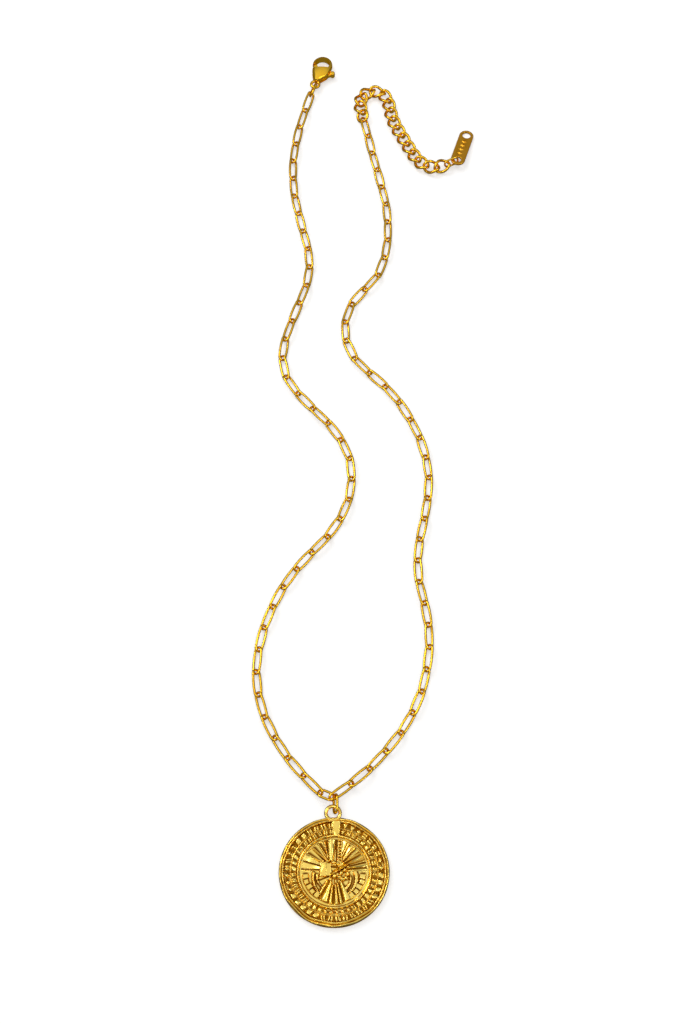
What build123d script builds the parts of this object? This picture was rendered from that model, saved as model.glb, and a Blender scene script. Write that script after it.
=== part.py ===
from build123d import *
import math
import os

# Coin necklace, laid out flat and unfastened. Sizes are in millimetres.
# The origin lies on the surface under the medal's centre: +X is right, +Y runs from the medal to the
# two open ends and +Z is up. Every piece of wire is round. A "way" is a direction in the plane.

# Paperclip chain
link_wire = 0.59
link_length = 6.97
link_width = 2.55        # at its middle
link_bow = 0.13          # how far each long side bows out between the two round tips
link_gap = 0.3           # clear space between two linked wires on a straight run
link_overlap = 0.9       # how far two linked tips reach past each other, between wire centres
link_lean = 22.0         # how far the links lean towards -Y where the chain runs crosswise
lean_reach = 2           # links on each side whose direction a link's lean follows
centre_link_length = 4.16
centre_link_width = 2.6
centre_link_roll = 25.0
centre_link_rise = 0.33  # how far its right tip is raised over the tip that it holds
lift_run = 11.0          # length over which a raised chain end comes down to the surface

# The chain's way over the surface, from the clasp to the medal and from the medal to the extender
left_route = [
    (-6.4, 207.75), (-9.4, 197.0), (-11.0, 185.5), (-10.2, 173.8), (-7.7, 162.8), (-6.4, 153.5),
    (-9.2, 142.5), (-12.4, 132.4), (-12.9, 125.5), (-9.0, 117.5), (-2.0, 109.9), (3.2, 101.1),
    (4.0, 93.0), (-0.4, 81.1), (-7.9, 72.5), (-13.8, 62.9), (-17.2, 52.2), (-17.4, 41.3),
    (-13.3, 30.1), (-6.6, 21.0),
]
right_route = [
    (3.9, 19.6), (11.7, 27.3), (18.0, 36.8), (21.2, 47.7), (21.3, 59.5), (19.3, 70.5), (20.5, 81.3),
    (22.3, 91.4), (21.5, 101.8), (17.7, 111.6), (12.0, 119.9), (5.9, 126.0), (3.1, 130.9), (2.4, 136.8),
    (4.3, 143.4), (9.9, 150.2), (13.2, 160.8), (13.1, 172.0), (10.8, 183.4), (8.5, 194.2), (7.4, 199.6),
]

# Extender: a first ring, then a curb chain to the tag
extender_wire = 0.74
extender_ring_length = 4.1
extender_ring_width = 3.6
extender_ring_roll = 34.0
curb_length = 4.76
curb_width = 3.7
curb_end_roll = 56.6     # roll of a curb link's tips; its two sides lie flat
curb_overlap = 1.12
curb_turn_over = 23.5    # roll of the last curb link about the chain
curb_turn_links = 4      # links at the tag's end over which the chain turns over
curb_rest_share = 0.55   # roll at which a curb link touches the surface, as a share of its tips' roll
curb_end_height = 1.65
curb_route = [
    (6.3, 204.6), (7.0, 207.2), (9.6, 208.9), (12.3, 208.3), (13.8, 205.8), (14.6, 201.0), (17.0, 194.9),
    (19.8, 189.2), (22.6, 185.1), (26.0, 183.9), (28.9, 185.1),
]
tag_ring_wire = 0.5
tag_ring_length = 4.2
tag_ring_width = 2.2
tag_ring_roll = 62.0

# Tag
tag_length = 12.3
tag_width = 3.7
tag_thickness = 0.6
tag_way = 73.0           # degrees from +X
tag_end_hole = 2.15      # diameter
tag_end_hole_edge = 1.65 # from the hole's centre to the tag's end
tag_ring_hole = 1.75
tag_ring_hole_edge = 1.75
tag_edge_round = 0.15

# Medal: radii from its middle, heights over its back
coin_radius = 12.0
back_round = 0.45
rim_height = 1.45
rim_round = 0.3
ridge_inset = 0.85       # from the medal's edge to the middle of the rim's ridge
ridge_width = 0.5
ridge_height = 1.85
band_floor = 1.25
divider_inset = 2.5      # to the ridge between the two bands
divider_width = 0.3
divider_height = 1.5
ring_inset = 4.15        # to the smooth round ring about the field
ring_wire = 0.6
ring_middle_height = 1.4
groove_inset = 4.65      # to the field's edge
groove_floor = 0.95
field_floor = 1.15

# Raised marks of the two bands
mark_share = 0.5         # a mark's width as a share of the space that it has round its band
outer_mark_count = 52
outer_mark_inset = 1.75
outer_mark_length = 0.85
outer_mark_height = 1.65
inner_mark_count = 60
inner_mark_inset = 3.22
inner_mark_length = 0.72
inner_mark_height = 1.6
patch_across = 1.15      # a plain raised patch over both bands
patch_width = 1.1
patch_length = 3.0
patch_height = 1.72

# Raised work of the field: lengths and places are shares of its radius, ways are degrees from +X
ray_ways = (8, 20, 33, 46, 59, 71, 109, 121, 134, 147, 160, 172)
ray_near = 0.36
ray_far = 0.96
ray_narrow = 0.05
ray_wide = 0.14
ray_height = 1.5
blade_across = -0.09
blade_near = 0.3
blade_far = 0.94
blade_narrow = 0.11
blade_wide = 0.24
blade_height = 1.65
staff_across = 0.14
staff_width = 0.05
staff_height = 1.4
bead_count = 6
bead_radius = 0.05
bead_height = 1.4        # of a bead's middle
knot_middle = (-0.27, 0.0)
knot_size = (0.28, 0.5)
knot_height = 1.6
band_start = (-0.34, -0.3)
band_end = (0.26, 0.25)
band_width = 0.13
band_height = 1.8
dome_middle = (0.17, -0.1)
dome_radius = 0.17
dome_height = 1.75
petal_ways = (-62, -76, -90, -104, -118)
petal_middle = 0.62
petal_length = 0.62
petal_width = 0.16
petal_height = 1.65
horn_radius = 0.7
horn_width = 0.07
horn_span = (-6, -55)    # on the right; the left one is its mirror
horn_height = 1.65
plate_near = 0.79
plate_far = 0.95
plate_span = (-4, -60)
plate_count = 5
plate_share = 0.8        # a plate's width as a share of its space
plate_height = 1.4

# Bail, cast on the medal's top edge
bail_wire = 0.8
bail_hole = 2.3
bail_side = -0.28
bail_height = 1.2
bail_seat = 0.6          # how deep the bail's wire centre lies inside the medal's edge

# Pendant ring, on edge: through the bail and through the right chain's first link
pendant_wire = 0.59
pendant_length = 4.7
pendant_height = 2.8
pendant_way = 90.0
pendant_side = 0.55      # from the bail's centre to where the ring passes through it
pendant_lean = -20.0
pendant_reach = 1.23     # from the right chain's first joint to the ring, along its first link
pendant_inset = 0.1      # how far the ring's wire lies to the right of the first link's middle line
pendant_drop = 0.6       # how far the ring's middle lies below the first joint
first_right_way = 38.5
centre_link_way = -25.0

# Clasp
clasp_way = 72.5
clasp_thickness = 2.8    # at its middle, where its two faces bulge most
clasp_edge = 0.4         # thickness of its rounded edge, before the bulge
clasp_outline = [(0.0, 6.4, 2.62), (0.3, 3.9, 2.3), (0.05, 1.8, 1.15)] # across, along, radius
clasp_middle = 4.2       # where it is thickest
clasp_bulge_across = 3.5 # reach of the bulging faces from there
clasp_bulge_along = 5.4
hook_hole = 3.8
cheek_middle = 5.1
cheek_slope = 17.5
eyelet_wire = 0.72
eyelet_hole = 1.35
lever_thickness = 0.8
lever_side_gap = 0.12
pivot_across = 0.25
pivot_along = 2.4
pin_diameter = 0.6
pin_gap = 0.05
gate_reach = 4.15        # from the pin to the gate's free end
gate_gap = 0.12
gate_way = 121.0
gate_width = 1.0
gate_clearing = 22.0     # angle kept open beyond the gate's middle line when it is pressed in
slot_left_way = 190.0    # the slot is open all along the clasp's left edge
throat_inside = 30.0     # angles from the shut gate to the two ends of the hook's mouth
throat_outside = 24.0
hub_radius = 0.75
arm_end_radius = 0.4
knob_way = 33.0
knob_reach = 3.75
knob_radius = 0.64
knob_height = 1.7
knob_round = 0.3
lever_travel = 28.0
arm_clearing = 62.0      # angle kept open beyond the arm's middle line at the end of its travel
clasp_ring_wire = 0.6
clasp_ring_length = 4.3
clasp_ring_width = 2.8
clasp_ring_roll = 66.0
clasp_ring_way = 72.0


def way(degrees):
    """The unit vector of a direction in the plane of the surface."""
    return Vector(math.cos(math.radians(degrees)), math.sin(math.radians(degrees)), 0)


def at_height(point, height):
    return Vector(point.X, point.Y, height)


def oval_ring(length, width, wire):
    """A closed oval of round wire in the XY plane, its long way along X."""
    bend = (width - wire) / 2
    half = (length - width) / 2
    path = Wire([
        Line((-half, -bend), (half, -bend)),
        CenterArc((half, 0), bend, -90, 180),
        Line((half, bend), (-half, bend)),
        CenterArc((-half, 0), bend, 90, 180),
    ])
    return sweep(Plane(path @ 0, z_dir=path % 0) * Circle(wire / 2), path=path).solid()


def bowed_ring(length, width, bow, wire):
    """An oval of round wire whose two long sides are shallow arcs, its long way along X."""
    bend = (width - wire) / 2 - bow
    half = (length - wire) / 2 - bend
    lean = 2 * math.atan(bow / half)
    across = bend * math.cos(lean)
    along = half + bend * math.sin(lean)
    turn = 180 - 2 * math.degrees(lean)
    path = Wire([
        ThreePointArc((-along, -across), (0, -bend - bow), (along, -across)),
        CenterArc((half, 0), bend, -turn / 2, turn),
        ThreePointArc((along, across), (0, bend + bow), (-along, across)),
        CenterArc((-half, 0), bend, 180 - turn / 2, turn),
    ])
    return sweep(Plane(path @ 0, z_dir=path % 0) * Circle(wire / 2), path=path).solid()


def biarc(start, start_way, end, end_way):
    """Two arcs that join two points smoothly, leaving and arriving in the given directions."""
    step = end - start
    along = step.dot(start_way + end_way)
    spread = 2 * (1 - start_way.dot(end_way))
    reach = (math.sqrt(along ** 2 + spread * step.dot(step)) - along) / spread
    middle = (start + end + (start_way - end_way) * reach) * 0.5
    first = TangentArc(start, middle, tangent=start_way)
    second = TangentArc(middle, end, tangent=first % 1)
    return [first, second]


def curb_link(length, width, wire, end_roll):
    """A curb link: an oval whose tips are rolled opposite ways, built from eight arcs of round wire."""
    tip = Vector((length - wire) / 2, 0, 0)
    side = Vector(0, (width - wire) / 2, 0)
    roll = math.radians(end_roll)
    tip_way = Vector(0, math.cos(roll), math.sin(roll))
    side_way = Vector(-1, 0, -roll * side.Y / tip.X).normalized()
    quarter = []
    for arc in biarc(tip, tip_way, side, side_way):
        quarter.append(sweep(Plane(arc @ 0, z_dir=arc % 0) * Circle(wire / 2), path=arc))
    half = quarter + [piece.rotate(Axis.X, 180) for piece in quarter]
    whole = half + [piece.rotate(Axis.Y, 180) for piece in half]
    return whole[0].fuse(*whole[1:]).solid()


def joint_roll(wire, width, overlap, gap):
    """Roll that keeps two linked ovals of one kind apart by the gap where they cross."""
    bend = (width - wire) / 2
    inset = max(0.0, bend - overlap / 2)
    crossing = math.sqrt(bend ** 2 - inset ** 2)
    return math.degrees(math.asin((wire + gap) / (2 * crossing)))


def rest_height(width, wire, roll):
    """Height of a rolled oval's centre when its lower side lies on the surface."""
    return (width - wire) / 2 * math.sin(math.radians(abs(roll))) + wire / 2


def place(solid, start, end, roll):
    """A copy of a link midway between two joints, its long way along them and its left side rolled up."""
    along = (end - start).normalized()
    across = Vector(0, 0, 1).cross(along).normalized()
    up = along.cross(across)
    turn = math.radians(roll)
    normal = up * math.cos(turn) - across * math.sin(turn)
    return Plane(origin=(start + end) / 2, x_dir=along, z_dir=normal).location * solid


def joints(points, pitch, start_height, end_height, height):
    """Evenly spaced joints along a smooth line, raised towards both ends."""
    line = Spline(*points)
    count = max(2, round(line.length / pitch))
    spaced = []
    for index in range(count + 1):
        distance = line.length * index / count
        near_start = max(0.0, 1 - distance / lift_run)
        near_end = max(0.0, 1 - (line.length - distance) / lift_run)
        lift = (start_height - height) * near_start + (end_height - height) * near_end
        spaced.append(at_height(line @ (index / count), height + lift))
    return spaced


# Places where the pieces link up
link_pitch = link_length - link_wire - link_overlap
link_tip_width = link_width - 2 * link_bow
link_roll = joint_roll(link_wire, link_tip_width, link_overlap, link_gap)
link_height = rest_height(link_width, link_wire, link_roll + link_lean)
bail_bend = (bail_hole + bail_wire) / 2
bail_centre = Vector(bail_side, coin_radius + bail_bend - bail_seat, bail_height)
pendant_span = pendant_length - pendant_wire
pendant_low = Vector(bail_side + pendant_side, bail_centre.Y, pendant_height / 2)
pendant_high = pendant_low + way(pendant_way) * pendant_span
medal_joint_height = pendant_low.Z + pendant_drop
clasp_ring_height = rest_height(clasp_ring_width, clasp_ring_wire, clasp_ring_roll)
extender_ring_height = rest_height(extender_ring_width, extender_wire, extender_ring_roll)
tag_ring_height = curb_end_height

# The centre link lies across the pendant ring, between the two chains
centre_pitch = centre_link_length - link_wire - link_overlap
beside_ring = pendant_high - way(first_right_way + 90) * pendant_inset
right_start = at_height(beside_ring - way(first_right_way) * pendant_reach, medal_joint_height)
left_end = right_start - way(centre_link_way) * centre_pitch

left_points = [Vector(*point) for point in left_route] + [at_height(left_end, 0)]
right_points = [at_height(right_start, 0)] + [Vector(*point) for point in right_route]
left_joints = joints(left_points, link_pitch, clasp_ring_height, medal_joint_height, link_height)
right_joints = joints(right_points, link_pitch, medal_joint_height, extender_ring_height, link_height)

# Whether the first link of each chain has its left side up, 1, or its right side, -1. The links that hold
# the centre link, one on each side, both have their left sides up
left_first = 1 if len(left_joints) % 2 == 0 else -1
right_first = 1
extender_hand = -1 if len(right_joints) % 2 == 0 else 1


def paperclip(stops, first_side):
    """Paperclip links between the joints, rolled to either side in turn, their lean following the chain."""
    link = bowed_ring(link_length, link_width, link_bow, link_wire)
    links = []
    side = first_side
    for index in range(len(stops) - 1):
        before = max(index - lean_reach, 0)
        after = min(index + 1 + lean_reach, len(stops) - 1)
        run = (stops[after] - stops[before]).normalized()
        roll = side * link_roll + link_lean * run.X
        links.append(place(link, stops[index], stops[index + 1], roll))
        side = -side
    return links


def chain_left():
    links = paperclip(left_joints, left_first)
    centre_link = oval_ring(centre_link_length, centre_link_width, link_wire)
    raised_end = at_height(right_start, medal_joint_height + centre_link_rise)
    links.append(place(centre_link, left_joints[-1], raised_end, -centre_link_roll))
    return links


def chain_right():
    return paperclip(right_joints, right_first)


def clasp_ring():
    return place(
        oval_ring(clasp_ring_length, clasp_ring_width, clasp_ring_wire),
        clasp_ring_centre + way(clasp_ring_way),
        clasp_ring_centre - way(clasp_ring_way),
        -left_first * clasp_ring_roll,
    )


# The clasp ring reaches into the first link, and its other tip lies at the middle of the clasp's eyelet
clasp_ring_bend = (clasp_ring_length - clasp_ring_wire) / 2
clasp_ring_centre = left_joints[0] + way(clasp_ring_way) * (clasp_ring_bend - link_overlap / 2)
eyelet_centre = at_height(clasp_ring_centre + way(clasp_ring_way) * clasp_ring_bend, clasp_thickness / 2)


# Radii of the medal's rings
ridge_radius = coin_radius - ridge_inset
divider_radius = coin_radius - divider_inset
ring_radius = coin_radius - ring_inset
field_radius = coin_radius - groove_inset


def turned_profile():
    """Half of the medal's section, from its middle out over the rim."""
    return [
        (0, 0), (coin_radius - back_round, 0), (coin_radius, back_round),
        (coin_radius, rim_height - rim_round), (coin_radius - rim_round, rim_height),
        (ridge_radius + ridge_width * 0.6, rim_height),
        (ridge_radius + ridge_width * 0.4, ridge_height), (ridge_radius - ridge_width * 0.4, ridge_height),
        (ridge_radius - ridge_width * 0.6, band_floor), (divider_radius + divider_width / 2, band_floor),
        (divider_radius + divider_width / 5, divider_height),
        (divider_radius - divider_width / 5, divider_height),
        (divider_radius - divider_width / 2, band_floor), (ring_radius, band_floor),
        (ring_radius, groove_floor), (field_radius, groove_floor), (field_radius, field_floor),
        (0, field_floor),
    ]


def raised(outline, height):
    """An outline of the medal's face raised from below its surface to a height over its back."""
    foot = groove_floor / 2
    return Pos(0, 0, foot) * extrude(outline, height - foot)


def band_marks(inset, count, length, height):
    """Evenly spaced blocks round a band."""
    radius = coin_radius - inset
    width = 2 * math.pi * radius / count * mark_share
    mark = raised(Pos(radius, 0) * Rectangle(length, width), height)
    return [mark.rotate(Axis.Z, 360 * (index + 0.5) / count) for index in range(count)]


def field_bar(start, end, start_width, end_width, height):
    """A straight bar of the field, its places and widths given as shares of the field's radius."""
    first = Vector(*start) * field_radius
    last = Vector(*end) * field_radius
    across = Vector(0, 0, 1).cross((last - first).normalized()) * field_radius / 2
    corners = [
        first - across * start_width, last - across * end_width,
        last + across * end_width, first + across * start_width,
    ]
    return raised(make_face(Polyline(*corners, close=True)), height)


def field_arc(near, far, start, end, height):
    """A piece of a ring of the field, between two radii and two ways."""
    outer = CenterArc((0, 0), far * field_radius, start, end - start)
    inner = CenterArc((0, 0), near * field_radius, end, start - end)
    outline = make_face([outer, Line(outer @ 1, inner @ 0), inner, Line(inner @ 1, outer @ 0)])
    return raised(outline, height)


def ray(degrees):
    start = way(degrees) * ray_near
    end = way(degrees) * ray_far
    return field_bar((start.X, start.Y), (end.X, end.Y), ray_narrow, ray_wide, ray_height)


def petal(degrees):
    radii = (petal_length * field_radius / 2, petal_width * field_radius / 2)
    outline = Pos(petal_middle * field_radius, 0) * Ellipse(*radii)
    return raised(outline, petal_height).rotate(Axis.Z, degrees)


def plates():
    """Flat plates outside the right horn."""
    start, end = plate_span
    space = (end - start) / plate_count
    turned = [start + space * index for index in range(plate_count)]
    ends = [(edge, edge + space * plate_share) for edge in turned]
    return [field_arc(plate_near, plate_far, *pair, plate_height) for pair in ends]


def dome():
    """A low round boss, the top of a ball."""
    middle = Vector(*dome_middle) * field_radius
    radius = dome_radius * field_radius
    rise = dome_height - field_floor
    ball = (radius ** 2 + rise ** 2) / (2 * rise)
    top = Pos(middle.X, middle.Y, dome_height - ball) * Sphere(ball)
    return top & raised(Pos(middle.X, middle.Y) * Circle(radius), dome_height)


def staff():
    """A thin upright bar with a row of round beads on it."""
    start = (staff_across, blade_near)
    end = (staff_across, blade_far)
    pieces = [field_bar(start, end, staff_width, staff_width, staff_height)]
    for index in range(bead_count):
        along = blade_near + (blade_far - blade_near) * (index + 0.5) / bead_count
        middle = Vector(staff_across, along) * field_radius
        pieces.append(Pos(middle.X, middle.Y, bead_height) * Sphere(bead_radius * field_radius))
    return pieces


def field_work():
    sides = [field_arc(horn_radius - horn_width / 2, horn_radius + horn_width / 2, *horn_span, horn_height)]
    sides += plates()
    works = sides + [mirror(piece, Plane.YZ) for piece in sides]
    works += [ray(degrees) for degrees in ray_ways]
    works += [petal(degrees) for degrees in petal_ways]
    works += staff()
    blade = ((blade_across, blade_near), (blade_across, blade_far), blade_narrow, blade_wide)
    works.append(field_bar(*blade, blade_height))
    knot = Vector(*knot_middle) * field_radius
    width, length = knot_size
    knot_outline = Pos(knot.X, knot.Y) * Rectangle(width * field_radius, length * field_radius)
    works.append(raised(knot_outline, knot_height))
    works.append(field_bar(band_start, band_end, band_width, band_width, band_height))
    works.append(dome())
    return works


def coin_medal():
    outline = Polyline(*turned_profile(), close=True)
    coin = revolve(Plane.XZ * make_face(outline), Axis.Z)
    ring = Pos(0, 0, ring_middle_height) * Torus(ring_radius, ring_wire / 2)
    bail = Pos(*bail_centre) * Torus(bail_bend, bail_wire / 2)
    patch_along = (ridge_radius + ring_radius) / 2
    patch = raised(Pos(patch_across, patch_along) * Rectangle(patch_width, patch_length), patch_height)
    outer_marks = band_marks(outer_mark_inset, outer_mark_count, outer_mark_length, outer_mark_height)
    inner_marks = band_marks(inner_mark_inset, inner_mark_count, inner_mark_length, inner_mark_height)
    return coin.fuse(ring, bail, patch, *outer_marks, *inner_marks, *field_work()).solid()


def clasp_place(solid):
    """From the clasp's own frame, eyelet at the origin and hook along +Y, to its place."""
    return Plane(origin=eyelet_centre, x_dir=way(clasp_way - 90), z_dir=(0, 0, 1)).location * solid


def sector(radius, start, end, height):
    """A slice of a disc about the clasp's pin, between two directions."""
    edge = CenterArc((0, 0), radius, start, end - start)
    face = make_face([Line((0, 0), edge @ 0), edge, Line(edge @ 1, (0, 0))])
    return Pos(pivot_across, pivot_along, -height / 2) * extrude(face, height)


def clasp_plate():
    """The clasp's teardrop with bulging faces and a rounded edge all round."""
    rings = [Pos(across, along) * Circle(radius) for across, along, radius in clasp_outline]
    edges = [ring.edge() for ring in rings]
    plate = extrude(Pos(0, 0, -clasp_thickness / 2) * make_face(make_hull(edges)), clasp_thickness)
    edge_round = (clasp_thickness - clasp_edge) / 2
    plate = fillet(plate.faces().filter_by(Axis.Z).edges(), edge_round)
    bulge = scale(Sphere(1), by=(clasp_bulge_across, clasp_bulge_along, clasp_thickness / 2))
    return plate & Pos(0, clasp_middle, 0) * bulge


def above_cheeks(height):
    """A block over everything on the hook's side of the two cheeks' top edge."""
    block = Box(20, 10, height, align=(Align.CENTER, Align.MIN, Align.CENTER))
    return Pos(0, cheek_middle, 0) * Rot(0, 0, cheek_slope) * block


def clasp_body():
    head_across, head_along, _ = clasp_outline[0]
    body = clasp_plate()
    hook_space = Pos(head_across, head_along, 0) * Cylinder(hook_hole / 2, clasp_thickness * 2)
    body -= hook_space & above_cheeks(clasp_thickness * 2)
    slot = lever_thickness + 2 * lever_side_gap
    gate_open = gate_way - lever_travel - gate_clearing
    gate_sweep = sector(gate_reach + gate_gap, gate_open, slot_left_way, slot)
    arm_sweep = sector(knob_reach, knob_way - lever_travel - arm_clearing, gate_open + 1, slot)
    hub_space = Pos(pivot_across, pivot_along, 0) * Cylinder(hub_radius + lever_side_gap, slot)
    body -= gate_sweep + arm_sweep + hub_space
    throat_ends = (gate_way - throat_inside, gate_way + throat_outside)
    throat = sector(gate_reach + gate_gap, *throat_ends, clasp_thickness * 2)
    body -= throat & above_cheeks(clasp_thickness * 2)
    body += Pos(pivot_across, pivot_along, 0) * Cylinder(pin_diameter / 2, (slot + clasp_thickness) / 2)
    eyelet = Torus((eyelet_hole + eyelet_wire) / 2, eyelet_wire / 2)
    body += eyelet
    return clasp_place(body.solid())


def clasp_lever():
    gate_tip = way(gate_way) * (gate_reach - gate_width / 2)
    knob_middle = way(knob_way) * knob_reach
    hub = Circle(hub_radius)
    gate = make_hull([hub.edge(), (Pos(gate_tip.X, gate_tip.Y) * Circle(gate_width / 2)).edge()])
    arm_end = way(knob_way) * (knob_reach - knob_radius)
    arm = make_hull([hub.edge(), (Pos(arm_end.X, arm_end.Y) * Circle(arm_end_radius)).edge()])
    outline = make_face(gate) + make_face(arm) - Circle(pin_diameter / 2 + pin_gap)
    lever = extrude(Pos(0, 0, -lever_thickness / 2) * outline, lever_thickness)
    knob = Cylinder(knob_radius, knob_height)
    knob = fillet(knob.faces().filter_by(Axis.Z).edges(), knob_round)
    lever += Pos(knob_middle.X, knob_middle.Y, 0) * knob
    return clasp_place(Pos(pivot_across, pivot_along, 0) * lever.solid())


def pendant_ring():
    ring = oval_ring(pendant_length, pendant_height, pendant_wire)
    middle = (pendant_low + pendant_high) / 2
    return place(ring, middle - way(pendant_way), middle + way(pendant_way), 90 - pendant_lean)


def extender_ring():
    ring = oval_ring(extender_ring_length, extender_ring_width, extender_wire)
    return place(ring, right_joints[-1], curb_joints[0], extender_hand * extender_ring_roll)


# The extender's first ring carries on from the chain's last joint
extender_ring_pitch = extender_ring_length - extender_wire - (link_overlap + curb_overlap) / 2
extender_ring_way = (Vector(*curb_route[0]) - at_height(right_joints[-1], 0)).normalized()
curb_start = at_height(right_joints[-1], 0) + extender_ring_way * extender_ring_pitch
curb_points = [curb_start] + [Vector(*point) for point in curb_route]
curb_rest = rest_height(curb_width, extender_wire, curb_end_roll * curb_rest_share)
curb_pitch = curb_length - extender_wire - curb_overlap
curb_joints = joints(curb_points, curb_pitch, extender_ring_height, curb_end_height, curb_rest)


def extender_chain():
    link = curb_link(curb_length, curb_width, extender_wire, extender_hand * curb_end_roll)
    count = len(curb_joints) - 1
    links = []
    for index in range(count):
        turned = max(0.0, 1 - (count - 1 - index) / curb_turn_links) * curb_turn_over
        links.append(place(link, curb_joints[index], curb_joints[index + 1], -extender_hand * turned))
    return links


tag_ring_way = (curb_joints[-1] - curb_joints[-2]).normalized()
tag_ring_bend = (tag_ring_length - tag_ring_wire) / 2
tag_ring_centre = curb_joints[-1] + tag_ring_way * (tag_ring_bend - curb_overlap / 2)
tag_seat = tag_ring_centre + tag_ring_way * tag_ring_bend


def tag_ring():
    ring = oval_ring(tag_ring_length, tag_ring_width, tag_ring_wire)
    middle = at_height(tag_ring_centre, tag_ring_height)
    return place(ring, middle - tag_ring_way, middle + tag_ring_way, -extender_hand * tag_ring_roll)


def end_tag():
    """The tag lies with its far end on the surface and its ring hole held up by the ring."""
    hole_span = tag_length - tag_ring_hole_edge - tag_end_hole_edge
    middle = tag_length / 2 - tag_ring_hole_edge
    outline = Pos(middle, 0) * SlotOverall(tag_length, tag_width)
    outline -= Circle(tag_ring_hole / 2)
    outline -= Pos(hole_span, 0) * Circle(tag_end_hole / 2)
    tag = extrude(Pos(0, 0, -tag_thickness / 2) * outline, tag_thickness)
    tag = fillet(tag.faces().filter_by(Axis.Z).edges(), tag_edge_round)
    far_end = hole_span + tag_end_hole_edge
    drop = math.degrees(math.asin((tag_ring_height - tag_thickness / 2) / far_end))
    seat = at_height(tag_seat, tag_ring_height)
    return Plane(origin=seat, x_dir=way(tag_way), z_dir=(0, 0, 1)).location * Rot(0, drop, 0) * tag.solid()


def save(name, solids):
    solids = solids if isinstance(solids, list) else [solids]
    export_step(Compound(children=solids), os.path.join("parts", name + ".step"))


if __name__ == "__main__":
    os.makedirs("parts", exist_ok=True)
    save("coin_medal", coin_medal())
    save("chain_left", chain_left())
    save("chain_right", chain_right())
    save("pendant_ring", pendant_ring())
    save("clasp_ring", clasp_ring())
    save("clasp_body", clasp_body())
    save("clasp_lever", clasp_lever())
    save("extender_ring", extender_ring())
    save("extender_chain", extender_chain())
    save("tag_ring", tag_ring())
    save("end_tag", end_tag())
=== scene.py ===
import math
import bpy
import numpy as np
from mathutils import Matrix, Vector


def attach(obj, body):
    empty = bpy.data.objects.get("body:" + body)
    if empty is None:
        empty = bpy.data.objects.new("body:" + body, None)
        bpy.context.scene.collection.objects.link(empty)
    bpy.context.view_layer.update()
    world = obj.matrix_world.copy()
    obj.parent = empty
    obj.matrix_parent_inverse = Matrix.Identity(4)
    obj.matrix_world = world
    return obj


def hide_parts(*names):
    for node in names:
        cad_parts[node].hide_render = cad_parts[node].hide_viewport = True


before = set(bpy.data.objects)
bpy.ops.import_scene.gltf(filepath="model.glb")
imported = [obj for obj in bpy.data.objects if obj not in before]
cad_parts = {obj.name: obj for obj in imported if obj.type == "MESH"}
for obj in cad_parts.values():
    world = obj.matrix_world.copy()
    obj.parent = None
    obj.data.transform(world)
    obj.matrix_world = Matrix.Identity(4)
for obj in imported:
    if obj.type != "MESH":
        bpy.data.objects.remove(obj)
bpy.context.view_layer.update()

MM = 0.001


# Camera, at the photograph's angle: 25 degrees off straight down. Places in metres

camera_place = Vector((0.00158, -0.0939, 0.3864))
camera_aim = Vector((0.00158, 0.08629, 0.0))
camera_data = bpy.data.cameras.new("camera")
camera_data.sensor_fit = "VERTICAL"
camera_data.sensor_height = 36.0
camera_data.lens = 63.28
camera_data.clip_start = 0.01
camera = bpy.data.objects.new("camera", camera_data)
bpy.context.collection.objects.link(camera)
camera.location = camera_place
camera.rotation_euler = (camera_aim - camera_place).to_track_quat("-Z", "Y").to_euler()
bpy.context.scene.camera = camera


# Materials

edge_tint = (1.0, 0.5, 0.04, 1.0)   # the metal's colour where it is seen edge-on
cloud_scale = 240.0                 # of the slow drift of colour and gloss
cloud_span = (0.3, 0.6)             # the part of the cloud that runs from the deep to the bright colour
gloss_drift = 0.2                   # share by which the roughness drifts to either side
ripple_depth = 0.02 * MM


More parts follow.
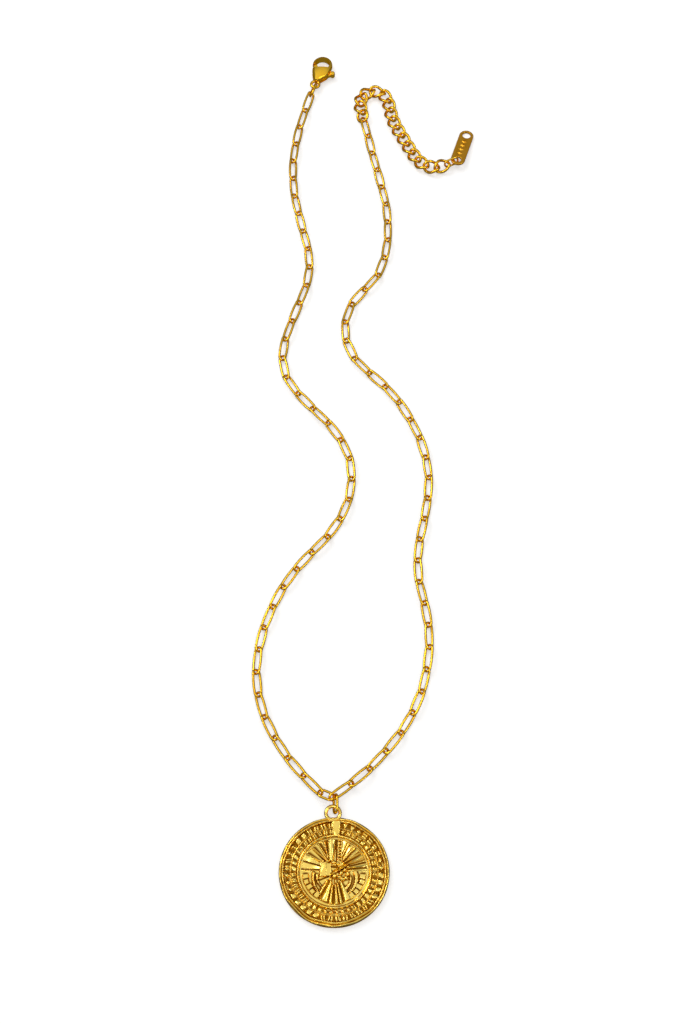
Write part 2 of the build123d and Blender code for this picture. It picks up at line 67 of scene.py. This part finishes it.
def gold(name, colour, deep, roughness, ripple, ripple_scale, stretch=(1, 1, 1), painted_crease_shade=None):
    """Gold plate: a slow drift of colour and gloss, a faint ripple and, on the medal, painted shade: a dark
    brown mixed in over its creases and sunk lines.
    """
    material = bpy.data.materials.new(name)
    material.use_nodes = True
    nodes = material.node_tree.nodes
    links = material.node_tree.links
    shader = nodes["Principled BSDF"]
    shader.inputs["Metallic"].default_value = 1.0
    shader.inputs["Specular Tint"].default_value = edge_tint
    place = nodes.new("ShaderNodeTexCoord")
    scaled = nodes.new("ShaderNodeMapping")
    scaled.inputs["Scale"].default_value = stretch
    links.new(place.outputs["Object"], scaled.inputs["Vector"])
    cloud = nodes.new("ShaderNodeTexNoise")
    cloud.inputs["Scale"].default_value = cloud_scale
    cloud.inputs["Detail"].default_value = 2.0
    links.new(scaled.outputs["Vector"], cloud.inputs["Vector"])
    tint = nodes.new("ShaderNodeMix")
    tint.data_type = "RGBA"
    tint.inputs["A"].default_value = (*deep, 1.0)
    tint.inputs["B"].default_value = (*colour, 1.0)
    spread = nodes.new("ShaderNodeMapRange")
    spread.inputs["From Min"].default_value = cloud_span[0]
    spread.inputs["From Max"].default_value = cloud_span[1]
    links.new(cloud.outputs["Fac"], spread.inputs["Value"])
    links.new(spread.outputs["Result"], tint.inputs["Factor"])
    surface_colour = tint.outputs["Result"]
    # Painted shade: the medal's creases and sunk lines are darkened towards a dark brown, by a mask kept on
    # its mesh
    if painted_crease_shade:
        depth = nodes.new("ShaderNodeAttribute")
        depth.attribute_name = "painted_crease_shade"
        crease_shade_mix = nodes.new("ShaderNodeMix")
        crease_shade_mix.data_type = "RGBA"
        crease_shade_mix.inputs["B"].default_value = (*painted_crease_shade, 1.0)
        links.new(depth.outputs["Fac"], crease_shade_mix.inputs["Factor"])
        links.new(surface_colour, crease_shade_mix.inputs["A"])
        surface_colour = crease_shade_mix.outputs["Result"]
    links.new(surface_colour, shader.inputs["Base Color"])
    gloss = nodes.new("ShaderNodeMapRange")
    gloss.inputs["To Min"].default_value = roughness * (1 + gloss_drift)
    gloss.inputs["To Max"].default_value = roughness * (1 - gloss_drift)
    links.new(cloud.outputs["Fac"], gloss.inputs["Value"])
    links.new(gloss.outputs["Result"], shader.inputs["Roughness"])
    fine = nodes.new("ShaderNodeTexNoise")
    fine.inputs["Scale"].default_value = ripple_scale
    fine.inputs["Detail"].default_value = 1.0
    links.new(scaled.outputs["Vector"], fine.inputs["Vector"])
    bump = nodes.new("ShaderNodeBump")
    bump.inputs["Strength"].default_value = ripple
    bump.inputs["Distance"].default_value = ripple_depth
    links.new(fine.outputs["Fac"], bump.inputs["Height"])
    links.new(bump.outputs["Normal"], shader.inputs["Normal"])
    return material


chain_gold = gold(
    "chain_gold", colour=(1.0, 0.61, 0.05), deep=(0.98, 0.55, 0.03),
    roughness=0.22, ripple=0.0, ripple_scale=300.0,
)
# The medal's gold, with a dark brown painted shade in its creases and sunk lines
medal_gold = gold(
    "medal_gold", colour=(1.0, 0.74, 0.18), deep=(1.0, 0.68, 0.12),
    roughness=0.17, ripple=0.04, ripple_scale=300.0, painted_crease_shade=(0.24, 0.09, 0.003),
)
# The tag's gold is a more orange gold than the chain's, and painted darker as well: a painted shade for the
# dimmer light that its flat face reflects
tag_gold = gold(
    "tag_gold", colour=(0.86, 0.43, 0.035), deep=(0.74, 0.34, 0.02),
    roughness=0.3, ripple=0.1, ripple_scale=500.0, stretch=(4, 0.6, 1),
)

sharp_angle = 38.0


def smooth_by_angle():
    """A node group that shades every face smooth except across sharp edges."""
    group = bpy.data.node_groups.new("soft_shading", "GeometryNodeTree")
    group.interface.new_socket("Geometry", in_out="INPUT", socket_type="NodeSocketGeometry")
    group.interface.new_socket("Geometry", in_out="OUTPUT", socket_type="NodeSocketGeometry")
    into = group.nodes.new("NodeGroupInput")
    out = group.nodes.new("NodeGroupOutput")
    faces = group.nodes.new("GeometryNodeSetShadeSmooth")
    faces.domain = "FACE"
    edges = group.nodes.new("GeometryNodeSetShadeSmooth")
    edges.domain = "EDGE"
    edges.inputs["Shade Smooth"].default_value = False
    angle = group.nodes.new("GeometryNodeInputMeshEdgeAngle")
    sharp = group.nodes.new("FunctionNodeCompare")
    sharp.operation = "GREATER_THAN"
    sharp.inputs["B"].default_value = math.radians(sharp_angle)
    group.links.new(into.outputs["Geometry"], faces.inputs["Geometry"])
    group.links.new(faces.outputs["Geometry"], edges.inputs["Geometry"])
    group.links.new(angle.outputs["Unsigned Angle"], sharp.inputs["A"])
    group.links.new(sharp.outputs["Result"], edges.inputs["Selection"])
    group.links.new(edges.outputs["Geometry"], out.inputs["Geometry"])
    return group


soft_shading = smooth_by_angle()
finishes = {"end_tag": tag_gold}
for name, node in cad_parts.items():
    node.data.materials.clear()
    node.data.materials.append(finishes.get(name, chain_gold))
    shading = node.modifiers.new("soft_shading", "NODES")
    shading.node_group = soft_shading


# The medal's face, as a height over every point of a round grid. Sizes in millimetres, angles in degrees

band_floor = 1.15
field_floor = 1.1
field_edge = 7.2
outer_start = 7.26          # of the grid's part outside the field
bands_start = 8.22
bands_end = 10.84
coin_radius = 12.0
face_turns = 560            # points of the grid round a circle
field_rows = 92
outer_rows = 74
inner_radius = 0.05         # of the grid's first circle, which one flat face closes

# Radius and height, from the field out over the smooth ring, the two bands and the rim
face_profile = [
    (0.0, field_floor), (7.16, field_floor), (outer_start, 0.9), (7.46, 0.9), (7.54, 1.25), (7.66, 1.6),
    (7.8, 1.74), (7.92, 1.74), (8.06, 1.58), (8.16, 1.2), (bands_start, band_floor), (9.36, band_floor),
    (9.44, 1.42), (9.5, 1.5), (9.56, 1.42), (9.64, band_floor), (bands_end, band_floor), (10.92, 1.55),
    (11.0, 1.8), (11.12, 1.86), (11.24, 1.76), (11.34, 1.42), (11.44, 1.34), (11.56, 1.46),
    (11.7, 1.6), (11.84, 1.52), (11.94, 1.3), (coin_radius, 1.05),
]
back_profile = [(coin_radius, 0.5), (11.87, 0.16), (11.55, 0.0), (6.0, 0.0), (inner_radius, 0.0)]
rng = np.random.default_rng(7)


def eased(value):
    """0 below 0, 1 above 1 and a smooth step between them."""
    value = np.clip(value, 0.0, 1.0)
    return value * value * (3 - 2 * value)


def plateau(distance, half, edge):
    """1 inside half, falling smoothly to 0 over the edge beyond it."""
    return eased((half + edge - distance) / edge)


def waves(x, y, size, seed, count=9):
    """A smooth random unevenness between about -1 and 1, with features of the given size."""
    random = np.random.default_rng(seed)
    total = np.zeros_like(x)
    for _ in range(count):
        turn, phase = random.uniform(0, 2 * math.pi, 2)
        pitch = size * random.uniform(0.7, 1.5)
        total += np.sin((x * math.cos(turn) + y * math.sin(turn)) * 2 * math.pi / pitch + phase)
    return total / (count / 2)


def bar(x, y, start, end, half_start, half_end, edge, tilt=0.0, crown=0.0):
    """A tapering bar between two points, from 0 to 1: tilted to one side or crowned if asked."""
    dx, dy = end[0] - start[0], end[1] - start[1]
    length = math.hypot(dx, dy)
    along = ((x - start[0]) * dx + (y - start[1]) * dy) / length
    across = ((y - start[1]) * dx - (x - start[0]) * dy) / length
    half = half_start + (half_end - half_start) * np.clip(along / length, 0, 1)
    side = plateau(np.abs(across), half, edge)
    ends = plateau(np.abs(along - length / 2), length / 2, edge)
    lean = np.clip(across / half, -1, 1)
    slope = (1 + tilt * lean) / (1 + abs(tilt)) - crown * lean ** 2
    return side * ends * slope


def lump(x, y, centre, radius, stretch=1.0, way=0.0):
    """The top of a round or stretched ball, from 0 to 1."""
    turn = math.radians(way)
    u = (x - centre[0]) * math.cos(turn) + (y - centre[1]) * math.sin(turn)
    v = (y - centre[1]) * math.cos(turn) - (x - centre[0]) * math.sin(turn)
    return np.sqrt(np.clip(1 - (u / (radius * stretch)) ** 2 - (v / radius) ** 2, 0, 1))


def arm(x, y, start, middle, end, half_start, half_end, edge, steps=14):
    """A curved arm along a smooth bend through three control points."""
    nearest = np.full_like(x, np.inf)
    for index in range(steps + 1):
        t = index / steps
        px = (1 - t) ** 2 * start[0] + 2 * t * (1 - t) * middle[0] + t * t * end[0]
        py = (1 - t) ** 2 * start[1] + 2 * t * (1 - t) * middle[1] + t * t * end[1]
        half = half_start + (half_end - half_start) * t
        nearest = np.minimum(nearest, np.hypot(x - px, y - py) - half)
    return eased(-nearest / edge + 0.5)


# Shapes of the bands' marks, from 0 to 1. out and side run from -1 to 1 over a mark, out along the radius
# and side round the band

def block(out, side, edge=0.24):
    return eased((1 - np.maximum(np.abs(out), np.abs(side))) / edge)


def lozenge(out, side, size=1.1, edge=0.5):
    return eased((size - np.abs(out) - np.abs(side)) / edge)


def twin_beads(out, side, middle=0.52, half_length=0.5, half_width=0.95):
    apart = (np.abs(out) - middle) / half_length
    return np.sqrt(np.clip(1 - apart ** 2 - (side / half_width) ** 2, 0, 1))


def wedge(out, side, middle=0.62, flare=0.38, edge=0.3):
    return eased((1 - np.maximum(np.abs(out), np.abs(side) / (middle + flare * out))) / edge)


def notch(distance, half=0.1, edge=0.2, depth=0.9):
    """A groove along a mark's middle line."""
    return 1 - depth * plateau(np.abs(distance), half, edge)


def twin_bars(out, side):
    return block(out, side) * notch(side)


def crossed_block(out, side):
    return block(out, side) * notch(out)


mark_shapes = [block, twin_bars, twin_beads, block, wedge, crossed_block, twin_bars, lozenge]
mark_lean = 0.3             # the most that a mark leans to one side
mark_sizes = (0.85, 1.06)   # least and most width of a mark, as a share of its even width
mark_levels = (0.8, 1.0)    # least and most height of a mark, as a share of the band's rise
mark_tilt = 0.35            # the most that a mark's top tilts
mark_crown = 0.3            # how far a mark's top falls off towards its edges


def band_marks(r, angle, radius, count, length, share, rise):
    """Raised blocks, beads, wedges and lozenges round a band, in short runs of a kind."""
    pitch = 2 * math.pi / count
    index = np.floor(angle / pitch).astype(int) % count
    across = (angle - (index + 0.5) * pitch) * radius
    width = pitch * radius * share
    runs = np.repeat(rng.integers(0, len(mark_shapes), count), rng.integers(1, 4, count))[:count]
    lean = rng.uniform(-mark_lean, mark_lean, count)[index]
    size = rng.uniform(*mark_sizes, count)[index]
    level = rng.uniform(*mark_levels, count)[index]
    tilt = rng.uniform(-mark_tilt, mark_tilt, count)[index]
    out = (r - radius) / (length / 2)
    side = (across - lean * out * width / 2) / (width / 2) / size
    height = np.choose(runs[index], [shape(out, side) for shape in mark_shapes])
    crown = 1 - mark_crown * np.clip(out ** 2 + side ** 2, 0, 1.5)
    return rise * level * height * crown * (1 + tilt * np.clip(side, -1, 1))


# Raised rays and sunk grooves of the field: start, end
bright_rays = (
    ((1.5, 3.0), (3.3, 6.4)), ((1.65, 2.1), (4.8, 5.7)), ((2.0, 1.9), (6.2, 4.4)),
    ((2.9, 1.6), (6.9, 2.9)), ((-2.1, 1.8), (-6.3, 4.0)), ((-1.9, 2.6), (-5.0, 5.5)),
    ((-1.75, 3.4), (-3.7, 6.3)), ((-1.5, 4.0), (-2.4, 6.9)),
)
grooves = (
    ((-3.1, 1.25), (-6.9, 2.4)), ((-3.15, 0.45), (-7.1, 0.6)), ((3.1, 1.15), (7.0, 2.1)),
    ((3.1, 0.5), (7.1, 0.95)), ((0.5, 2.3), (0.5, 7.2)), ((-1.1, -1.0), (-3.5, -1.9)),
)

# Petals: start, end, half width at either end
petals = (
    ((-1.4, -1.9), (-3.1, -4.9), 0.1, 0.3), ((-0.7, -2.2), (-2.3, -6.3), 0.2, 0.72),
    ((-0.35, -2.9), (-0.75, -7.0), 0.12, 0.36), ((0.25, -2.9), (0.45, -7.1), 0.12, 0.42),
    ((0.75, -2.5), (1.65, -6.9), 0.12, 0.34), ((1.3, -2.1), (2.9, -6.1), 0.2, 0.72),
)

# Horns: start, control point, end, half width at either end
horns = (
    ((4.6, -0.3), (5.4, -2.6), (3.2, -4.7), 0.42, 0.24),
    ((-4.4, -0.3), (-4.9, -2.6), (-3.2, -4.7), 0.26, 0.2),
    ((3.5, -1.0), (3.9, -2.4), (2.6, -3.7), 0.16, 0.3),
    ((-3.7, -0.8), (-3.7, -2.4), (-2.7, -3.3), 0.3, 0.14),
)

# Round lobes about the middle: centre, radius, stretch, way of the stretch
lobes = (
    ((0.05, -0.95), 0.5, 1.2, 60), ((1.5, -0.25), 0.45, 1.4, 60), ((2.3, 0.35), 0.42, 1.3, 20),
    ((2.9, -0.45), 0.42, 1.5, 80), ((2.55, -1.35), 0.42, 1.4, 130), ((1.8, -1.65), 0.4, 1.4, 160),
    ((1.1, -1.2), 0.4, 1.4, 45), ((3.1, 0.95), 0.38, 1.3, 10), ((-0.2, 2.0), 0.36, 1.8, 5),
    ((-1.5, 2.25), 0.34, 1.5, 20), ((0.75, 1.75), 0.34, 1.4, -10), ((-0.75, -1.7), 0.34, 1.5, 70),
    ((0.35, -2.1), 0.34, 1.7, 95),
)

fan_pitch = 13.5
fan_shift = 0.25            # of the first fold, as a share of the pitch
fan_crest = 0.3             # where a fold's crest lies, as a share of the pitch
fan_half = 86               # the fan reaches this far to either side of the top, and fades over its edge
fan_edge = 3
fan_start = 1.8             # radius where the fan starts to rise
fan_run = 2.0               # over which it rises
plate_first = 4             # the first plate's start, below the horizontal
plate_pitch = 11
plate_rows = 5
plate_near = 5.5            # inner radius of every second plate, the others start a step further out
plate_step = 0.3
plate_far = 7.0
low_plate = 0.75            # height of every second plate, as a share of the others'
hollow_centre = (0.1, 1.15)
hollow_half = 0.62
hollow_edge = 0.3
hollow_flatness = 2.6       # how much wider than high the hollow is
line_depth = 0.2            # of the sunk lines, below the field's floor

# Heights of the field's forms over its floor. Plates: side, height
fan_rise = 0.3
ray_rise = 0.58
blade_rise = 0.6
drop_rise = 0.68
rail_rise = 0.34
bead_rise = 0.58
petal_rise = 0.6
horn_rise = 0.66
plate_rises = ((1, 0.45), (-1, 0.55))
left_block_rise = 0.62
right_block_rise = 0.48
lobe_rise = 0.6
slant_rise = 0.85

clear_share = 0.9           # share of the fan and its rays that the clear strip takes away
petal_tilt = 0.25
bead_count = 7
bead_pitch = 0.7
rail_places = (0.82, 1.55)


def fan(r, angle):
    """Facets folded like a fan over the upper half of the field."""
    place = angle / math.radians(fan_pitch) + fan_shift
    fold = place - np.floor(place)
    facet = np.where(fold < fan_crest, fold / fan_crest, (1 - fold) / (1 - fan_crest))
    from_top = np.abs((np.degrees(angle) - 90 + 180) % 360 - 180)
    return fan_rise * facet * eased((r - fan_start) / fan_run) * plateau(from_top, fan_half, fan_edge)


def knot(x, y):
    """The boss at the middle: two blocks, a slanting band over them and a cluster of round lobes."""
    left = bar(
        x, y, start=(-2.4, -0.95), end=(-2.4, 2.0), half_start=0.62, half_end=0.62, edge=0.2,
        tilt=-0.3, crown=0.1,
    )
    right = bar(
        x, y, start=(-1.15, -0.9), end=(-1.15, 1.8), half_start=0.5, half_end=0.5, edge=0.16, tilt=0.3,
    )
    height = np.maximum(left_block_rise * left, right_block_rise * right)
    for centre, radius, stretch, way in lobes:
        height = np.maximum(height, lobe_rise * lump(x, y, centre, radius, stretch, way))
    slant = bar(
        x, y, start=(-0.9, -0.6), end=(2.5, 1.45), half_start=0.26, half_end=0.34, edge=0.16, tilt=-0.6,
    )
    return np.maximum(height, slant_rise * slant)


def plates(r, angle, side):
    """Flat plates in two rows outside one horn, side 1 on the right and -1 on the left."""
    degrees = np.degrees(angle)
    turned = degrees if side == 1 else (180 - degrees)
    below = -((turned + 180) % 360 - 180)
    place = (below - plate_first) / plate_pitch
    row = np.floor(place)
    inside = (row >= 0) & (row < plate_rows)
    across = np.abs(place - row - 0.5) * 2
    near = plate_near + plate_step * (row % 2)
    out = np.abs(r - (near + plate_far) / 2) / ((plate_far - near) / 2)
    level = low_plate + (1 - low_plate) * (row % 2)
    return block(out, across, edge=0.3) * inside * level


def dark_lines(x, y):
    """The sunk lines of the field and the hollow over its middle, from 0 to 1. The same mask sinks them and
    paints shade into them.
    """
    middle_x, middle_y = hollow_centre
    depth = plateau(np.hypot(x - middle_x, (y - middle_y) * hollow_flatness), hollow_half, hollow_edge)
    for start, end in grooves:
        depth = np.maximum(depth, bar(x, y, start, end, half_start=0.08, half_end=0.14, edge=0.1))
    return depth


def upper_field(x, y, r, angle):
    """The fan and its rays, and at the top a clear strip with the blade and the beaded rails."""
    field = fan(r, angle)
    for start, end in bright_rays:
        ray = bar(x, y, start, end, half_start=0.1, half_end=0.2, edge=0.12, crown=0.35)
        field = np.maximum(field, ray_rise * ray)
    clear = bar(x, y, start=(0.1, 2.0), end=(0.1, 7.3), half_start=1.3, half_end=1.75, edge=0.1)
    field = field * (1 - clear_share * clear)
    blade = bar(
        x, y, start=(-0.68, 2.4), end=(-0.58, 7.0), half_start=0.42, half_end=0.8, edge=0.16, crown=0.45,
    )
    drop = lump(x, y, centre=(-0.75, 6.5), radius=0.42, stretch=1.4, way=15)
    field = np.maximum(field, np.maximum(blade_rise * blade, drop_rise * drop))
    for across in rail_places:
        start, end = (across, 2.6), (across + 0.06, 7.0)
        rail = bar(x, y, start, end, half_start=0.06, half_end=0.06, edge=0.1)
        field = np.maximum(field, rail_rise * rail)
    for index in range(bead_count):
        bead = lump(x, y, centre=(1.18, 2.75 + index * bead_pitch), radius=0.25, stretch=1.3)
        field = np.maximum(field, bead_rise * bead)
    return field


def field_relief(x, y, r, angle):
    """All that stands over the field's floor or is sunk in it."""
    field = upper_field(x, y, r, angle)
    for number, (start, end, narrow, wide) in enumerate(petals):
        tilt = petal_tilt if number % 2 else -petal_tilt
        petal = bar(x, y, start, end, narrow, wide, edge=0.18, tilt=tilt, crown=0.4)
        field = np.maximum(field, petal_rise * petal)
    for start, middle, end, wide, narrow in horns:
        horn = arm(x, y, start, middle, end, wide, narrow, edge=0.2)
        field = np.maximum(field, horn_rise * horn)
    for side, rise in plate_rises:
        field = np.maximum(field, rise * plates(r, angle, side))
    field = np.maximum(field, knot(x, y))
    field = field - (field + line_depth) * dark_lines(x, y)
    return field * plateau(r, half=7.05, edge=0.14)


rim_wobble = 0.14           # how far the rim's crests stray from a circle
wobble_start = 10.6
wobble_run = 0.5
patch_rise = 0.68           # of the plain patch that crosses both bands at the top
unevenness = 0.06


def face_height(x, y, r, angle):
    """The face's height: the turned profile with an uneven rim, the bands' marks and the field's relief."""
    wobble = rim_wobble * waves(x, y, size=5.0, seed=3) * eased((r - wobble_start) / wobble_run)
    height = np.interp(r + wobble, *zip(*face_profile))
    outer = band_marks(r, angle, radius=10.22, count=40, length=1.2, share=0.82, rise=0.5)
    inner = band_marks(r, angle, radius=8.78, count=44, length=1.08, share=0.8, rise=0.42)
    height = height + np.maximum(outer, inner) * (r > bands_start) * (r < bands_end)
    patch = bar(x, y, start=(0.5, 8.1), end=(0.45, 10.9), half_start=0.6, half_end=0.9, edge=0.2, crown=0.2)
    height = np.maximum(height, band_floor + patch_rise * patch)
    height = height + field_relief(x, y, r, angle)
    return height + unevenness * waves(x, y, size=2.6, seed=11) * plateau(r, half=11.8, edge=0.2)


def recess_shade(height, rounds=10, reach=3, least=0.03, span=0.12):
    """How far each point of the grid lies below its surroundings, from 0 to 1: the mask of the painted
    shade in the medal's recesses.
    """
    wide = height.copy()
    for _ in range(rounds):
        wide = (wide + np.roll(wide, reach, axis=1) + np.roll(wide, -reach, axis=1)) / 3
        inner = np.vstack([wide[:1], wide[:-1]])
        outer = np.vstack([wide[1:], wide[-1:]])
        wide = (wide + inner + outer) / 3
    return eased((wide - height - least) / span)


def coin_face():
    """The medal without its bail: the face's grid, closed by its edge and flat back."""
    field_radii = np.linspace(inner_radius, field_edge, field_rows)
    outer_radii = np.linspace(outer_start, coin_radius, outer_rows)
    angles = np.arange(face_turns) * 2 * math.pi / face_turns
    r, angle = np.meshgrid(np.concatenate([field_radii, outer_radii]), angles, indexing="ij")
    x, y = r * np.cos(angle), r * np.sin(angle)
    z = face_height(x, y, r, angle)
    rows = [np.stack([x, y, z], axis=2)]
    # Painted shade: the recesses and the field's sunk lines get a mask that darkens their colour
    shade = [np.maximum(recess_shade(z), dark_lines(x, y) * (r < field_edge))]
    circle = np.stack([np.cos(angles), np.sin(angles)], axis=1)
    for radius, level in back_profile:
        ring = np.concatenate([circle * radius, np.full((face_turns, 1), level)], axis=1)
        rows.append(ring[None])
        shade.append(np.zeros((1, face_turns)))
    points = np.concatenate(rows, axis=0)
    last_row = (points.shape[0] - 1) * face_turns
    corner = np.arange(face_turns)
    after = (corner + 1) % face_turns
    faces = []
    for low in range(0, last_row, face_turns):
        high = low + face_turns
        faces += np.stack([low + corner, high + corner, high + after, low + after], axis=1).tolist()
    faces.append(list(range(face_turns))[::-1])
    faces.append([last_row + index for index in range(face_turns)])
    mesh = bpy.data.meshes.new("coin_face")
    mesh.from_pydata((points.reshape(-1, 3) * MM).tolist(), [], faces)
    mesh.polygons.foreach_set("use_smooth", [True] * len(mesh.polygons))
    # The painted shade's mask goes on the mesh, for the medal's gold to darken by
    depth = mesh.attributes.new("painted_crease_shade", "FLOAT", "POINT")
    depth.data.foreach_set("value", np.concatenate(shade, axis=0).reshape(-1))
    mesh.materials.append(medal_gold)
    piece = bpy.data.objects.new("coin_face", mesh)
    bpy.context.collection.objects.link(piece)
    return piece


bail_wire = 0.8
bail_bend = 1.55            # radius of the wire's middle line
bail_centre = Vector((-0.28, 12.95, 1.2))


def coin_bail():
    """The round loop at the medal's top edge."""
    bpy.ops.mesh.primitive_torus_add(
        major_segments=96, minor_segments=32, major_radius=bail_bend * MM, minor_radius=bail_wire / 2 * MM,
        location=bail_centre * MM,
    )
    piece = bpy.context.object
    piece.name = "coin_bail"
    bpy.ops.object.transform_apply(location=True)
    bpy.ops.object.shade_smooth()
    piece.data.materials.append(medal_gold)
    return piece


for piece in (coin_face(), coin_bail()):
    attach(piece, "necklace")
    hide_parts("coin_medal")


# Small raised lozenges along the tag, between its two holes. Sizes in millimetres, angles in degrees

tag_seat = Vector((31.757, 186.395, 1.65))  # middle of the hole that hangs on the ring
tag_way = 73.0
tag_drop = 7.35
tag_top = 0.3
lozenge_places = (2.2, 3.6, 5.0, 6.4)       # along the tag from that hole
lozenge_corners = ((0.55, 0), (0, 0.8), (-0.55, 0), (0, -0.8))
lozenge_foot = tag_top - 0.05
lozenge_head = tag_top + 0.2
lozenge_head_size = 0.25                    # as a share of its foot


def tag_point(along, across, up):
    """A point of the tag's own frame, from the hole that hangs on the ring, in metres."""
    turn, drop = math.radians(tag_way), math.radians(tag_drop)
    length_way = Vector((math.cos(turn) * math.cos(drop), math.sin(turn) * math.cos(drop), -math.sin(drop)))
    left_way = Vector((-math.sin(turn), math.cos(turn), 0))
    return (tag_seat + length_way * along + left_way * across + length_way.cross(left_way) * up) * MM


def tag_marks():
    """A row of lozenges, each low and narrowing to a small flat top."""
    points, faces = [], []
    for along in lozenge_places:
        low = len(points)
        for size, up in ((1.0, lozenge_foot), (lozenge_head_size, lozenge_head)):
            for u, v in lozenge_corners:
                points.append(tag_point(along + u * size, v * size, up))
        faces.append([low + 3, low + 2, low + 1, low])
        faces.append([low + 4, low + 5, low + 6, low + 7])
        for side in range(4):
            after = (side + 1) % 4
            faces.append([low + side, low + after, low + 4 + after, low + 4 + side])
    mesh = bpy.data.meshes.new("tag_marks")
    mesh.from_pydata([tuple(point) for point in points], [], faces)
    mesh.materials.append(tag_gold)
    piece = bpy.data.objects.new("tag_marks", mesh)
    bpy.context.collection.objects.link(piece)
    return piece


marks = tag_marks()
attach(marks, "necklace")


# Floor and light

floor_size = 3.0
floor_middle = (0, 0.1, -0.00002)
floor_grey = 0.85
floor_glow = 0.5
light_aim = Vector((0.0, 0.09, 0.0))
light_distance = 0.9


def floor():
    """White paper, lit evenly so that shadows stay faint. The metal doesn't reflect it."""
    bpy.ops.mesh.primitive_plane_add(size=floor_size, location=floor_middle)
    piece = bpy.context.object
    piece.name = "floor"
    material = bpy.data.materials.new("paper")
    material.use_nodes = True
    shader = material.node_tree.nodes["Principled BSDF"]
    shader.inputs["Base Color"].default_value = (floor_grey, floor_grey, floor_grey, 1)
    shader.inputs["Roughness"].default_value = 0.9
    shader.inputs["Specular IOR Level"].default_value = 0.0
    shader.inputs["Emission Color"].default_value = (1, 1, 1, 1)
    shader.inputs["Emission Strength"].default_value = floor_glow
    piece.data.materials.append(material)
    piece.visible_glossy = False


def softbox(name, way, height, width, depth, radiance):
    """A rectangular light aimed at the necklace. Way from +X and height over the floor in degrees."""
    turn, rise = math.radians(way), math.radians(height)
    level = Vector((math.cos(turn), math.sin(turn), 0))
    toward = level * math.cos(rise) + Vector((0, 0, math.sin(rise)))
    data = bpy.data.lights.new(name, "AREA")
    data.shape = "RECTANGLE"
    data.size = width
    data.size_y = depth
    data.energy = radiance * math.pi * width * depth
    light = bpy.data.objects.new(name, data)
    light.location = light_aim + toward * light_distance
    light.rotation_euler = (-toward).to_track_quat("-Z", "Y").to_euler()
    bpy.context.collection.objects.link(light)
    return light


floor()

# The large light casts the soft shadows and the metal doesn't reflect it
softbox("soft", way=132, height=50, width=0.5, depth=0.5, radiance=2.3).visible_glossy = False

# Lights that show only as glints in the metal: name, way, height, width, depth, radiance
glints = (
    ("key", 140, 50, 0.22, 0.22, 11.0), ("left", 185, 42, 0.5, 0.07, 9.0),
    ("right", -8, 45, 0.5, 0.07, 9.0), ("front", -100, 54, 0.3, 0.1, 8.0),
)
for glint in glints:
    softbox(*glint).visible_diffuse = False

# Brightness of the surroundings against the height of a direction, from level, 0, to straight up, 1
sky_steps = ((0.0, 0.2), (0.45, 0.22), (0.7, 0.36), (0.82, 0.78), (0.97, 0.88))
world = bpy.data.worlds.new("studio")
bpy.context.scene.world = world
world.use_nodes = True
world_nodes = world.node_tree.nodes
world_links = world.node_tree.links
direction = world_nodes.new("ShaderNodeTexCoord")
split = world_nodes.new("ShaderNodeSeparateXYZ")
world_links.new(direction.outputs["Generated"], split.inputs["Vector"])
ramp = world_nodes.new("ShaderNodeValToRGB")
sky = ramp.color_ramp.elements
for height, _ in sky_steps[1:-1]:
    sky.new(height)
for step, (height, grey) in zip(sky, sky_steps):
    step.position = height
    step.color = (grey, grey, grey, 1)
world_links.new(split.outputs["Z"], ramp.inputs["Fac"])
world_links.new(ramp.outputs["Color"], world_nodes["Background"].inputs["Color"])
world_nodes["Background"].inputs["Strength"].default_value = 1.0
bpy.context.scene.view_settings.view_transform = "Standard"
